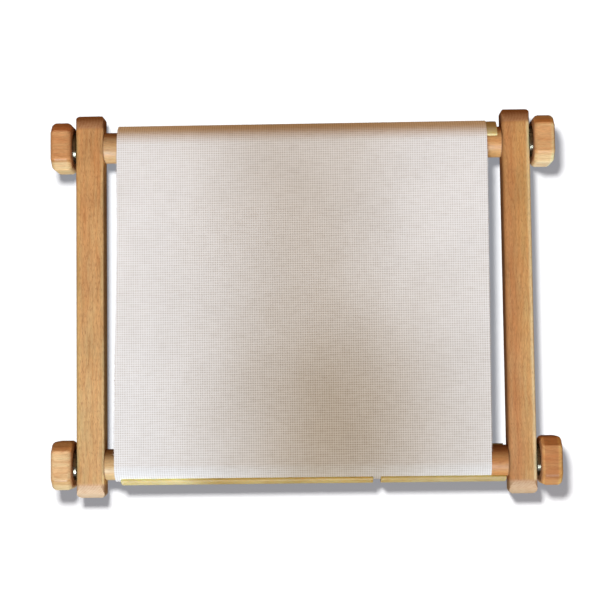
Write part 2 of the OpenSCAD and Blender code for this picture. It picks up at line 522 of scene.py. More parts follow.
class EvenWeave(Effect):
    """Fourteen-count evenweave: blocks of four threads with a hole at each corner."""

    label = "even_weave"
    inputs = {
        "Thread": (VECTOR, ORIGIN),
        "Cotton": (COLOUR, (0.8, 0.78, 0.74, 1.0)),
        "Gap": (COLOUR, (0.4, 0.36, 0.32, 1.0)),
        "Depth": (NUMBER, 1.0),
    }
    outputs = {"Colour": COLOUR, "Height": NUMBER, "Roughness": NUMBER}

    # Turns of the strands across a block, in radians: four strands lie side by side.
    strand_turns = 8.0 * math.pi

    def wire(self, g: Graph, given: Sockets) -> dict[str, Socket]:
        """Wires the blocks, their threads, the grooves and the holes.

        Args:
            g: The group's graph.
            given: The group's inputs, of which Thread counts blocks across and along.

        Returns:
            The weave's colour, height and roughness.
        """
        thread = given["Thread"]
        u, v, _ = g.split(thread)
        u = g.plus(u, g.times(g.minus(g.noise(thread, 0.9), 0.5), 0.10))
        cells = [g.math("FRACT", u), g.math("FRACT", v)]
        du, dv = [g.minus(0.5, g.math("ABSOLUTE", g.minus(cell, 0.5))) for cell in cells]
        hole = g.span(g.vector("LENGTH", g.join(du, dv, 0.0)), 0.26, 0.12)
        groove = g.plus(g.span(du, 0.30, 0.0), g.span(dv, 0.30, 0.0))
        block = g.plus(g.math("FLOOR", u), g.math("FLOOR", v))
        turn = g.math("ABSOLUTE", g.math("MODULO", block, 2.0))
        lay = g.add("ShaderNodeMix", {
            0: turn, 2: g.math("COSINE", g.times(v, self.strand_turns)),
            3: g.math("COSINE", g.times(u, self.strand_turns))}, data_type="FLOAT").outputs[0]
        strand = g.minus(0.5, g.times(lay, 0.5))
        pillow = g.times(*[g.math("SINE", g.times(cell, math.pi)) for cell in cells])
        height = g.plus(g.math("POWER", pillow, 0.5), g.times(strand, 0.22))
        weft = g.streaks(thread, (0.17, 1.1, 1.0))
        warp = g.streaks(thread, (1.1, 0.17, 1.0))
        # Painted shade in the grooves and holes, towards the gap colour, with the threads' own
        # uneven tone from the weft and warp streaks.
        shade = g.plus(g.times(groove, 0.25), g.times(hole, 0.34),
                       g.times(g.minus(1.0, strand), 0.05),
                       g.span(weft, 0.35, 0.75, -0.03, 0.10),
                       g.span(warp, 0.35, 0.75, -0.02, 0.05))
        shade = g.times(shade, given["Depth"], clamp=True)
        return {"Colour": g.blend(shade, given["Cotton"], given["Gap"]),
                "Height": g.minus(height, g.times(hole, 0.9)),
                "Roughness": g.plus(0.82, g.times(hole, 0.15))}


@dataclass
class Effects:
    """The shared effects, each built once."""

    grain: BeechGrain
    end: SawnEnd
    edge: RubbedEdge
    handling: Handling
    weave: EvenWeave

    @classmethod
    def build(cls) -> "Effects":
        """Builds every effect."""
        return cls(BeechGrain(), SawnEnd(), RubbedEdge(), Handling(), EvenWeave())


class Coat(Graph):
    """The graph of one new material, with its shader and the object's coordinates."""

    def __init__(self, name: str) -> None:
        """Starts a material.

        Args:
            name: The material's name.
        """
        self.material = bpy.data.materials.new(name)
        self.material.use_nodes = True
        super().__init__(self.material.node_tree)
        self.shader = self.tree.nodes["Principled BSDF"]
        self.place = self.add("ShaderNodeTexCoord").outputs["Object"]

    def plain(self, **values: object) -> None:
        """Sets plain values of the shader's inputs.

        Args:
            values: Values by input name, with _ for a space in the name.
        """
        for name, value in values.items():
            self.shader.inputs[name.replace("_", " ")].default_value = value

    def lay(self, colour: Socket, roughness: Socket, height: Socket, strength: float,
            depth: float) -> bpy.types.Material:
        """Feeds the shader its colour, its roughness and its relief.

        Args:
            colour: The base colour.
            roughness: The roughness.
            height: The relief's height, about 0 to 1.
            strength: How much of the relief shows.
            depth: What a height of 1 is, in metres.

        Returns:
            The material.
        """
        relief = self.add("ShaderNodeBump", {"Height": height, "Strength": strength,
                                             "Distance": depth})
        self.feed(self.shader.inputs["Base Color"], colour)
        self.feed(self.shader.inputs["Roughness"], roughness)
        self.feed(self.shader.inputs["Normal"], relief.outputs[0])
        return self.material


@dataclass(frozen=True)
class Tint:
    """A change of tone along one axis of the part, from none to a full factor; most of them are
    painted light and shade.
    """

    axis: int
    start: float
    stop: float
    factor: Colour

    def over(self, g: Coat, colour: Socket) -> Socket:
        """Lays the change over a colour.

        Args:
            g: The material's graph.
            colour: The colour without it.

        Returns:
            The colour with it.
        """
        share = g.span(g.split(g.place)[self.axis], self.start * MM, self.stop * MM)
        return g.tinted(colour, g.blend(share, WHITE, self.factor))


@dataclass(frozen=True)
class Block:
    """The block of beech that a piece was cut from: its seed, tones and changes of tone, most of
    them painted light and shade.
    """

    seed: float
    pale: Colour
    late: Colour
    tints_and_painted_light: tuple[Tint, ...] = ()
    # The default end grain, which the knobs keep, is dark: partly end grain's own deeper tone,
    # partly painted shade for the knobs' inner end faces in the narrow gap by the bars.
    end_pale: Colour = srgb(186, 138, 96)
    end_late: Colour = srgb(150, 98, 60)


@dataclass(frozen=True)
class Beech:
    """Oiled beech for one piece, with its own tone and stretch of grain."""

    name: str
    grain: GrainAxis
    block: Block
    ray: Colour
    centre: Triple
    half: Triple
    end_from: float
    bands: float = 0.6
    flecks: float = 0.3
    wear: float = 0.0
    end_blend: float = 0.4
    painted_shades: tuple[Tint, ...] = ()

    def material(self, effects: Effects) -> bpy.types.Material:
        """Makes the piece's material.

        Args:
            effects: The shared effects.

        Returns:
            The material.
        """
        g = Coat(self.name)
        block = self.block
        lying = g.add("ShaderNodeMapping", {"Vector": g.place,
                                            "Rotation": self.grain.value}).outputs[0]
        long = effects.grain.use(g, Position=lying, Seed=block.seed, Pale=block.pale,
                                 Late=block.late, Ray=self.ray, Bands=self.bands,
                                 Flecks=self.flecks)
        cut = effects.end.use(g, Position=lying, Pale=block.end_pale, Late=block.end_late)
        centre = tuple(Vector(self.centre) * MM)
        worn = effects.edge.use(g, Position=g.place, Centre=centre,
                                Half_Size=tuple(Vector(self.half) * MM), Width=0.0035)
        marks = effects.handling.use(g, Position=g.place, Size=28.0, Seed=block.seed)
        away = g.vector("ABSOLUTE", g.vector("SUBTRACT", g.place, centre))
        reach = g.split(away)[0 if self.grain is GrainAxis.ALONG_X else 1]
        end = g.span(reach, (self.end_from - self.end_blend) * MM,
                     (self.end_from + self.end_blend) * MM)
        colour = long["Colour"]
        for tint in block.tints_and_painted_light:
            colour = tint.over(g, colour)
        colour = g.blend(end, colour, cut["Colour"])
        colour = g.blend(g.times(worn["Mask"], self.wear), colour, block.end_pale)
        colour = g.tinted(colour, marks["Tone"])
        for shade in self.painted_shades:
            colour = shade.over(g, colour)
        rough = g.plus(long["Roughness"], marks["Gloss"], g.times(end, 0.2))
        height = g.plus(g.times(long["Height"], g.minus(1.0, end)),
                        g.times(cut["Height"], end))
        g.plain(Specular_IOR_Level=0.35)
        return g.lay(colour, rough, height, strength=0.35, depth=0.00012)


@dataclass(frozen=True)
class TubePlastic:
    """Extruded cream plastic of the tube clips."""

    name: str = "cream_plastic"
    body: Colour = srgb(203, 187, 138)
    deep: Colour = srgb(186, 160, 99)
    # Along X the clips are paler at the left end, darker from the middle on, and paler and bluer
    # again at the right end. Painted light: the bottom clips are lighter from the lip up, where
    # they turn into shade, and the top clips are lighter all over.
    tints_and_painted_light: tuple[Tint, ...] = (Tint(0, -110.0, -60.0, (0.68, 0.57, 0.41)),
                               Tint(0, 60.0, 110.0, (1.08, 1.18, 1.5)),
                               Tint(1, -139.2, -138.2, (1.46, 1.75, 1.65)),
                               Tint(1, 90.0, 110.0, (1.15, 1.07, 1.3)))

    def material(self, effects: Effects) -> bpy.types.Material:
        """Makes the plastic, with draw lines along the tube.

        Args:
            effects: The shared effects.

        Returns:
            The material.
        """
        g = Coat(self.name)
        mm = g.vector("SCALE", g.place, PER_METRE)
        lines = g.streaks(mm, (0.01, 1.3, 1.3), 3.0)
        marks = effects.handling.use(g, Position=g.place, Size=35.0, Seed=3.0)
        deep = g.plus(g.span(lines, 0.35, 0.7, 0.0, 0.35),
                      g.span(g.noise(mm, 0.05), 0.3, 0.7, 0.0, 0.4))
        colour = g.tinted(g.blend(deep, self.body, self.deep), marks["Tone"])
        for tint in self.tints_and_painted_light:
            colour = tint.over(g, colour)
        rough = g.plus(0.58, g.plus(marks["Gloss"], g.times(marks["Scratch"], 0.2)))
        height = g.minus(lines, g.times(marks["Scratch"], 0.4))
        g.plain(Subsurface_Weight=0.55, Subsurface_Radius=(0.006, 0.0045, 0.0022),
                Subsurface_Scale=1.0)
        return g.lay(colour, rough, height, strength=0.25, depth=0.0001)


class TurnedBy(Enum):
    """How a metal piece was cut: cycles of its fine lines for each millimetre, along X and out."""

    LATHE = (0.2, 6.0)
    DIE = (5.0, 0.6)


@dataclass(frozen=True)
class Metal:
    """Plated or plain metal of the hardware, turned about an axis at a given Y and Z."""

    name: str
    colour: Colour
    dark: Colour
    roughness: float
    lines: TurnedBy
    axis: tuple[float, float]

    def material(self, effects: Effects) -> bpy.types.Material:
        """Makes the metal, with turning lines and dulled patches.

        Args:
            effects: The shared effects.

        Returns:
            The material.
        """
        g = Coat(self.name)
        mm = g.vector("SCALE", g.place, PER_METRE)
        x, y, z = g.split(mm)
        radius = g.vector("LENGTH", g.join(g.minus(g.math("ABSOLUTE", y), self.axis[0]),
                                           g.minus(z, self.axis[1]), 0.0))
        along, out = self.lines.value
        fine = g.noise(g.join(g.times(x, along), g.times(radius, out), 0.0), 1.0, 3.0)
        marks = effects.handling.use(g, Position=g.place, Size=9.0, Seed=5.0)
        dull = g.span(g.noise(mm, 0.45, 4.0), 0.45, 0.7)
        colour = g.blend(g.times(dull, 0.6), self.colour, self.dark)
        rough = g.plus(self.roughness, g.times(dull, 0.18), marks["Gloss"])
        height = g.minus(fine, g.times(marks["Scratch"], 0.5))
        g.plain(Metallic=1.0)
        return g.lay(colour, rough, height, strength=0.3, depth=0.00005)


@dataclass(frozen=True)
class ShadePool:
    """A bell-shaped pool of painted shade on the cloth, by its middle and its reach in X and Y."""

    middle: tuple[float, float]
    reach: tuple[float, float]

    def depth(self, g: Coat, mm: Socket) -> Socket:
        """Makes the pool of painted shade, which is 1 in its middle.

        Args:
            g: The material's graph.
            mm: The place in millimetres.

        Returns:
            The hollow.
        """
        parts = [g.math("POWER", g.math("DIVIDE", g.minus(place, middle), reach), 2.0)
                 for place, middle, reach in zip(g.split(mm), self.middle, self.reach)]
        return g.math("EXPONENT", g.times(g.plus(*parts), -1.0))


@dataclass(frozen=True)
class CottonCanvas:
    """Unbleached cotton evenweave, read from the cloth's own thread coordinates."""

    name: str = "cotton_canvas"
    cotton: Colour = srgb(232, 230, 229)
    # Colour of the grooves and holes: painted shade, for the shade that the open weave shows.
    gap: Colour = srgb(172, 161, 151)
    # How much of each channel the painted shade takes.
    shade: Colour = (0.83, 1.0, 1.21)
    # Painted shade: the cloth is darker and warmer in a broad patch low and right of its middle,
    # and in a band down its middle.
    shade_pools: tuple[ShadePool, ...] = (ShadePool((50.7, -103.8), (93.7, 99.3)),
                                   ShadePool((-3.65, 0.0), (83.8, 2000.0)))
    # Painted shade: the cloth is a little darker towards the bottom, and darker again where it
    # turns round the bottom roller.
    tints_and_painted_light: tuple[Tint, ...] = (Tint(1, 60.0, -110.0, (0.955, 0.955, 0.955)),
                               Tint(1, -125.5, -134.0, (0.9, 0.885, 0.88)))

    def material(self, effects: Effects) -> bpy.types.Material:
        """Makes the cloth.

        Args:
            effects: The shared effects.

        Returns:
            The material.
        """
        g = Coat(self.name)
        mm = g.vector("SCALE", g.place, PER_METRE)
        uneven = g.noise(mm, 0.018, 3.0)
        # The painted shade, with a little uneven tone, darkens and warms the cloth and deepens the
        # weave's grooves and holes.
        dark = g.plus(*[pool.depth(g, mm) for pool in self.shade_pools])
        dark = g.plus(g.times(dark, 0.27), g.span(uneven, 0.3, 0.7, -0.02, 0.02))
        fall = g.join(*[g.minus(1.0, g.times(dark, part)) for part in self.shade])
        weave = effects.weave.use(
            g, Thread=g.add("ShaderNodeUVMap", uv_map="UVMap").outputs[0], Cotton=self.cotton,
            Gap=self.gap, Depth=g.math("MULTIPLY_ADD", dark, 0.9, 0.83))
        colour = g.tinted(weave["Colour"], fall)
        for tint in self.tints_and_painted_light:
            colour = tint.over(g, colour)
        marks = effects.handling.use(g, Position=g.place, Size=60.0, Seed=8.0)
        colour = g.blend(0.35, colour, g.tinted(colour, marks["Tone"]))
        g.plain(Specular_IOR_Level=0.1, Sheen_Weight=0.4, Sheen_Roughness=0.5,
                Sheen_Tint=(1.0, 0.62, 0.34, 1.0))
        return g.lay(colour, weave["Roughness"], weave["Height"], strength=0.4, depth=0.00018)


def stand(name: str, data: bpy.types.ID) -> bpy.types.Object:
    """Puts a new object of a mesh, a light or a camera in the scene.

    Args:
        name: The object's name.
        data: What it holds.

    Returns:
        The object.
    """
    made = bpy.data.objects.new(name, data)
    bpy.context.scene.collection.objects.link(made)
    return made


def dress(node: str, material: bpy.types.Material) -> None:
    """Gives a node of the model its finish.

    Args:
        node: The node's name.
        material: Its finish.
    """
    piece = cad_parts[node]
    piece.data.materials.clear()
    piece.data.materials.append(material)
    LOG.info("%s is finished in %s", node, material.name)


def round_edges(node: str, arris: float) -> None:
    """Rounds a node's edges with modifiers, which leave its own mesh alone.

    Args:
        node: The node's name.
        arris: How much of each face is rounded off.
    """
    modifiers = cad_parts[node].modifiers
    weld = modifiers.new("weld", "WELD")
    weld.merge_threshold = 0.01 * MM
    faces = modifiers.new("faces", "DECIMATE")
    faces.decimate_type = "DISSOLVE"
    faces.angle_limit = math.radians(3.0)
    rounding = modifiers.new("arris", "BEVEL")
    rounding.width = arris * MM
    rounding.segments = 4
    rounding.limit_method = "ANGLE"
    rounding.angle_limit = math.radians(30.0)
    rounding.use_clamp_overlap = False
    flat = modifiers.new("flat", "WEIGHTED_NORMAL")
    flat.weight = 50


def smooth(piece: bpy.types.Object, crease: float = 35.0) -> None:
    """Shades a piece smoothly, apart from its sharp edges.

    Args:
        piece: The piece.
        crease: The angle in degrees from which an edge is sharp.
    """
    piece.data.polygons.foreach_set("use_smooth", [True] * len(piece.data.polygons))
    piece.data.set_sharp_from_angle(angle=math.radians(crease))


def join(name: str, parts: list[bpy.types.Object]) -> bpy.types.Object:
    """Joins meshes into one piece.

    Args:
        name: The piece's name.
        parts: The meshes.

    Returns:
        The piece.
    """
    piece = parts[0]
    with bpy.context.temp_override(active_object=piece, selected_editable_objects=parts,
                                   object=piece, selected_objects=parts):
        bpy.ops.object.join()
    piece.name = name
    piece.data.name = name
    return piece


class NodeTool:
    """A Geometry Nodes tree with named inputs, run once and turned into a mesh."""

    label: str = ""
    inputs: dict[str, tuple[str, object]] = {}

    def __init__(self) -> None:
        """Builds the tree with its named inputs."""
        self.tree = bpy.data.node_groups.new(self.label, "GeometryNodeTree")
        face = self.tree.interface
        face.new_socket("Geometry", in_out="OUTPUT", socket_type="NodeSocketGeometry")
        face.new_socket("Geometry", in_out="INPUT", socket_type="NodeSocketGeometry")
        face.new_socket("Material", in_out="INPUT", socket_type="NodeSocketMaterial")
        for name, (kind, default) in self.inputs.items():
            socket = face.new_socket(name, in_out="INPUT", socket_type=kind)
            socket.default_value = default
        g = Graph(self.tree)
        given = g.add("NodeGroupInput").outputs
        real = g.add("GeometryNodeRealizeInstances", {0: self.wire(g, given)}).outputs[0]
        dressed = g.add("GeometryNodeSetMaterial", {"Geometry": real,
                                                    "Material": given["Material"]})
        g.add("NodeGroupOutput", {0: dressed.outputs[0]})

    def wire(self, g: Graph, given: Sockets) -> Socket:
        """Wires the tree; each tool has its own.

        Args:
            g: The tree's graph.
            given: The tree's inputs.

        Returns:
            The geometry made.
        """
        raise NotImplementedError

    def run(self, name: str, material: bpy.types.Material, base: bpy.types.Mesh | None = None,
            **values: object) -> bpy.types.Object:
        """Runs the tree with its own values.

        Args:
            name: The piece's name.
            material: The material it sets.
            base: A mesh that the tree starts from, if it needs one.
            values: Input values, with _ for a space in the name.

        Returns:
            A plain mesh object at the origin.
        """
        host = stand(name, base or bpy.data.meshes.new(name))
        tool = host.modifiers.new("tool", "NODES")
        tool.node_group = self.tree
        sockets = {s.name: s.identifier for s in self.tree.interface.items_tree
                   if s.item_type == "SOCKET" and s.in_out == "INPUT"}
        tool[sockets["Material"]] = material
        for key, value in values.items():
            tool[sockets[key.replace("_", " ")]] = value
        ready = bpy.context.evaluated_depsgraph_get()
        mesh = bpy.data.meshes.new_from_object(host.evaluated_get(ready), depsgraph=ready)
        host.modifiers.remove(tool)
        host.data = mesh
        mesh.name = name
        if not any(slot == material for slot in mesh.materials):
            mesh.materials.append(material)
        return host


class WoundBand(NodeTool):
    """A band of cloth wound on a roller, from one angle and radius to another."""

    label = "wound_band"
    inputs = {
        "Left": (NUMBER, -0.148), "Right": (NUMBER, 0.146),
        "Axis Y": (NUMBER, 0.1265), "Axis Z": (NUMBER, 0.019), "Way": (NUMBER, 1.0),
        "Start Angle": (NUMBER, 0.0), "Stop Angle": (NUMBER, 6.28),
        "Start Radius": (NUMBER, 0.017), "Stop Radius": (NUMBER, 0.017),
        "Thickness": (NUMBER, 0.0006), "Thread Pitch": (NUMBER, 0.0018),
        "Thread Start": (NUMBER, 0.0), "Thread Scale": (NUMBER, 1.0),
        "Rings": (WHOLE, 96), "Columns": (WHOLE, 40),
    }

    def wire(self, g: Graph, given: Sockets) -> Socket:
        """Wires a grid bent round the axis, its thread coordinates and its thickness.

        Args:
            g: The tree's graph.
            given: The tree's inputs.

        Returns:
            The band, as a closed shell.
        """
        grid = g.add("GeometryNodeMeshGrid", {
            "Size X": 1.0, "Size Y": 1.0, "Vertices X": given["Columns"],
            "Vertices Y": given["Rings"]})
        across, along, _ = g.split(g.add("GeometryNodeInputPosition").outputs[0])
        across = g.math("MULTIPLY_ADD", across, given["Way"], 0.5)
        along = g.plus(along, 0.5)

        def mixed(share: Socket, first: str, second: str) -> Socket:
            """Mixes two of the inputs."""
            return g.math("MULTIPLY_ADD", share, g.minus(given[second], given[first]),
                          given[first])

        x = mixed(across, "Left", "Right")
        angle = mixed(along, "Start Angle", "Stop Angle")
        radius = mixed(along, "Start Radius", "Stop Radius")
        out = g.times(radius, g.math("SINE", angle), given["Way"])
        up = g.times(radius, g.math("COSINE", angle))
        place = g.join(x, g.plus(given["Axis Y"], out), g.plus(given["Axis Z"], up))
        turned = g.minus(angle, given["Start Angle"])
        mean = g.times(g.plus(radius, given["Start Radius"]), 0.5)
        length = g.times(turned, mean, given["Thread Scale"])
        pitch = given["Thread Pitch"]
        thread = g.join(g.math("DIVIDE", g.minus(x, given["Left"]), pitch),
                        g.plus(g.math("DIVIDE", length, pitch), given["Thread Start"]), 0.0)
        named = g.add("GeometryNodeStoreNamedAttribute",
                      {"Geometry": grid.outputs[0], "Name": "UVMap"},
                      data_type="FLOAT2", domain="CORNER")
        g.feed([s for s in named.inputs if s.name == "Value" and s.enabled][0], thread)
        bent = g.add("GeometryNodeSetPosition", {"Geometry": named.outputs[0],
                                                 "Position": place}).outputs[0]
        return self.closed(g, bent, given["Thickness"])

    @staticmethod
    def closed(g: Graph, sheet: Socket, thickness: Socket) -> Socket:
        """Gives a sheet of faces its thickness below, as a closed shell.

        Args:
            g: The tree's graph.
            sheet: The faces of the upper side, pointing up.
            thickness: How thick it becomes.

        Returns:
            The closed shell.
        """
        lower = g.add("GeometryNodeExtrudeMesh", {
            "Mesh": g.add("GeometryNodeFlipFaces", {0: sheet}).outputs[0],
            "Offset": g.add("GeometryNodeInputNormal").outputs[0],
            "Offset Scale": thickness, "Individual": False}, mode="FACES").outputs[0]
        both = g.add("GeometryNodeJoinGeometry")
        g.feed(both.inputs[0], lower)
        g.feed(both.inputs[0], sheet)
        return g.add("GeometryNodeMergeByDistance", {"Geometry": both.outputs[0],
                                                     "Distance": 0.00001}).outputs[0]


class ScrewThread(NodeTool):
    """The threaded end of a stud: a rod whose radius follows the helix."""

    label = "screw_thread"
    inputs = {
        "From": (NUMBER, 0.15), "To": (NUMBER, 0.19), "Axis Y": (NUMBER, 0.1265),
        "Axis Z": (NUMBER, 0.019), "Root Radius": (NUMBER, 0.0025),
        "Crest Radius": (NUMBER, 0.003), "Pitch": (NUMBER, 0.001),
        "Rings": (WHOLE, 200), "Around": (WHOLE, 24),
    }

    def wire(self, g: Graph, given: Sockets) -> Socket:
        """Wires a closed cylinder whose points are pushed out along the helix.

        Args:
            g: The tree's graph.
            given: The tree's inputs.

        Returns:
            The rod.
        """
        rod = g.add("GeometryNodeMeshCylinder", {
            "Vertices": given["Around"], "Side Segments": given["Rings"],
            "Radius": 1.0, "Depth": 1.0}, fill_type="TRIANGLE_FAN").outputs[0]
        a, b, c = g.split(g.add("GeometryNodeInputPosition").outputs[0])
        share = g.plus(c, 0.5)
        angle = g.math("ARCTAN2", b, a)
        x = g.math("MULTIPLY_ADD", share, g.minus(given["To"], given["From"]), given["From"])
        turns = g.math("DIVIDE", angle, 2 * math.pi)
        phase = g.math("FRACT", g.minus(g.math("DIVIDE", x, given["Pitch"]), turns))
        tooth = g.span(g.times(g.math("ABSOLUTE", g.minus(phase, 0.5)), 2.0), 0.08, 0.92)
        ends = g.times(g.span(share, 0.0, 0.02), g.span(share, 1.0, 0.98))
        depth = g.minus(given["Crest Radius"], given["Root Radius"])
        rim = g.math("MINIMUM", g.vector("LENGTH", g.join(a, b, 0.0)), 1.0)
        radius = g.times(g.math("MULTIPLY_ADD", g.times(tooth, ends), depth,
                                given["Root Radius"]), rim)
        place = g.join(x, g.plus(given["Axis Y"], g.times(radius, g.math("COSINE", angle))),
                       g.plus(given["Axis Z"], g.times(radius, g.math("SINE", angle))))
        return g.add("GeometryNodeSetPosition", {"Geometry": rod,
                                                 "Position": place}).outputs[0]


class CutThreads(NodeTool):
    """Loose ends of the weft along the cloth's cut edges."""

    label = "cut_threads"
    inputs = {
        "Length": (NUMBER, 0.0009), "Radius": (NUMBER, 0.00012),
        "Out": (VECTOR, (1.0, 0.0, 0.0)), "Seed": (WHOLE, 7),
    }

    def wire(self, g: Graph, given: Sockets) -> Socket:
        """Wires one short thin thread onto each point, turned a little at random.

        Args:
            g: The tree's graph.
            given: The tree's inputs.

        Returns:
            The threads.
        """
        stub = g.add("GeometryNodeMeshCone", {
            "Vertices": 4, "Side Segments": 1, "Radius Top": g.times(given["Radius"], 0.5),
            "Radius Bottom": given["Radius"], "Depth": given["Length"]},
            fill_type="NGON").outputs[0]

        def random(low: object, high: object, shift: int) -> Socket:
            """Gives each point its own number or vector.

            Args:
                low: The lowest.
                high: The highest.
                shift: What is added to the seed.

            Returns:
                The number or vector.
            """
            kind = "FLOAT_VECTOR" if isinstance(low, tuple) else "FLOAT"
            node = g.add("FunctionNodeRandomValue", data_type=kind)
            lowest, highest = [s for s in node.inputs if s.enabled and s.name in ("Min", "Max")]
            g.feed(lowest, low)
            g.feed(highest, high)
            g.feed([s for s in node.inputs if s.name == "Seed"][0],
                   g.plus(given["Seed"], shift))
            return [s for s in node.outputs if s.enabled][0]

        along = g.add("FunctionNodeAlignRotationToVector", {"Vector": given["Out"]},
                      axis="Z").outputs[0]
        tilt = g.add("FunctionNodeRotateRotation", {
            0: along, 1: random((-0.45, -0.45, 0.0), (0.45, 0.45, 6.28), 1)},
            rotation_space="LOCAL").outputs[0]
        return g.add("GeometryNodeInstanceOnPoints", {
            "Points": given["Geometry"], "Instance": stub, "Rotation": tilt,
            "Scale": random(0.5, 1.25, 2)}).outputs[0]


@dataclass
class Toolbox:
    """The Geometry Nodes tools, each built once."""

    wound: WoundBand
    thread: ScrewThread
    ends: CutThreads

    @classmethod
    def build(cls) -> "Toolbox":
        """Builds every tool."""
        return cls(WoundBand(), ScrewThread(), CutThreads())


@dataclass
class OnAxes:
    """Anything that the two roller axes place."""

    axis_y: float = 126.5
    axis_z: float = 19.0


@dataclass
class SideBars(OnAxes):
    """The two beech bars at the sides."""

    middle_x: float = 169.5
    width: float = 22.0
    length: float = 305.0
    end_from: float = 141.5

    # Painted shade: both bars are darker at the top end, where the rounded end turns from the
    # light, and lighter again towards its tip; the bottom end, which faces the light, is painted a
    # little darker.
    painted_end_shades = (Tint(1, 138.5, 143.0, (0.66, 0.50, 0.34)),
                  Tint(1, 144.0, 152.5, (1.4, 1.5, 1.5)),
                  Tint(1, -141.0, -144.0, (0.93, 1.0, 0.99)),
                  Tint(1, -147.5, -150.5, (0.92, 0.95, 0.97)))
    # Each bar is darker and redder towards its top end. Painted light: the left bar's inner side,
    # which faces the canvas, and its outer rounded edge are painted lighter, and the right bar
    # grows paler towards its outer side, with a pale strip along its outer edge that is partly
    # sapwood and partly painted light.
    blocks = {
        Side.LEFT: Block(2.0, srgb(210, 172, 119), srgb(187, 141, 90),
                         (Tint(1, -140.0, 140.0, (0.96, 0.81, 0.71)),
                          Tint(0, -161.0, -158.8, (1.6, 2.0, 2.3)),
                          Tint(0, -175.5, -179.5, (1.14, 1.24, 1.18))),
                         srgb(214, 176, 143), srgb(184, 133, 95)),
        Side.RIGHT: Block(9.0, srgb(193, 141, 92), srgb(172, 117, 71),
                          (Tint(1, -140.0, 140.0, (0.98, 0.93, 0.82)),
                           Tint(0, 163.5, 175.0, (1.12, 1.32, 1.32)),
                           Tint(0, 176.3, 179.5, (1.7, 2.4, 3.5))),
                          srgb(200, 160, 126), srgb(172, 122, 84)),
    }

    def dress(self, effects: Effects) -> None:
        """Finishes both bars, each with its own tone.

        Args:
            effects: The shared effects.
        """
        for side, block in self.blocks.items():
            which = side.name.lower()
            finish = Beech(
                name=f"{which}_bar_beech", grain=GrainAxis.ALONG_Y, block=block,
                ray=srgb(150, 98, 60), centre=(side.value * self.middle_x, 0.0, self.axis_z),
                half=(self.width / 2, self.length / 2, self.width / 2),
                end_from=self.end_from, bands=0.7, flecks=0.6, wear=0.05, end_blend=1.6,
                painted_shades=self.painted_end_shades)
            dress(f"{which}_side_bar", finish.material(effects))


@dataclass
class Rollers(OnAxes):
    """The two turned rollers between the bars."""

    length: float = 316.9
    diameter: float = 24.5

    pale, late = srgb(204, 165, 116), srgb(181, 132, 86)
    end_pale, end_late = srgb(150, 104, 66), srgb(122, 80, 48)
    # Painted shade: each roller is darker at its right end and on its upper side, which turns from
    # the light; the bottom roller is also paler and bluer towards its left end.
    blocks = {
        End.TOP: Block(4.0, pale, late, (Tint(0, 100.0, 150.0, (1.0, 0.86, 0.70)),
                                         Tint(1, 133.0, 137.0, (0.83, 0.74, 0.68))),
                       end_pale, end_late),
        End.BOTTOM: Block(14.0, pale, late, (Tint(0, 100.0, 150.0, (0.81, 0.62, 0.46)),
                                             Tint(0, -145.0, -150.0, (0.98, 1.10, 1.14)),
                                             Tint(1, -121.5, -116.5, (0.80, 0.82, 0.94))),
                          end_pale, end_late),
    }

    def dress(self, effects: Effects) -> None:
        """Finishes both rollers.

        Args:
            effects: The shared effects.
        """
        for end, block in self.blocks.items():
            which = end.name.lower()
            finish = Beech(
                name=f"{which}_roller_beech", grain=GrainAxis.ALONG_X, block=block,
                ray=srgb(140, 92, 56), centre=(0.0, end.value * self.axis_y, self.axis_z),
                half=(self.length / 2, self.diameter / 2, self.diameter / 2),
                end_from=self.length / 2 - 0.5)
            dress(f"{which}_roller", finish.material(effects))


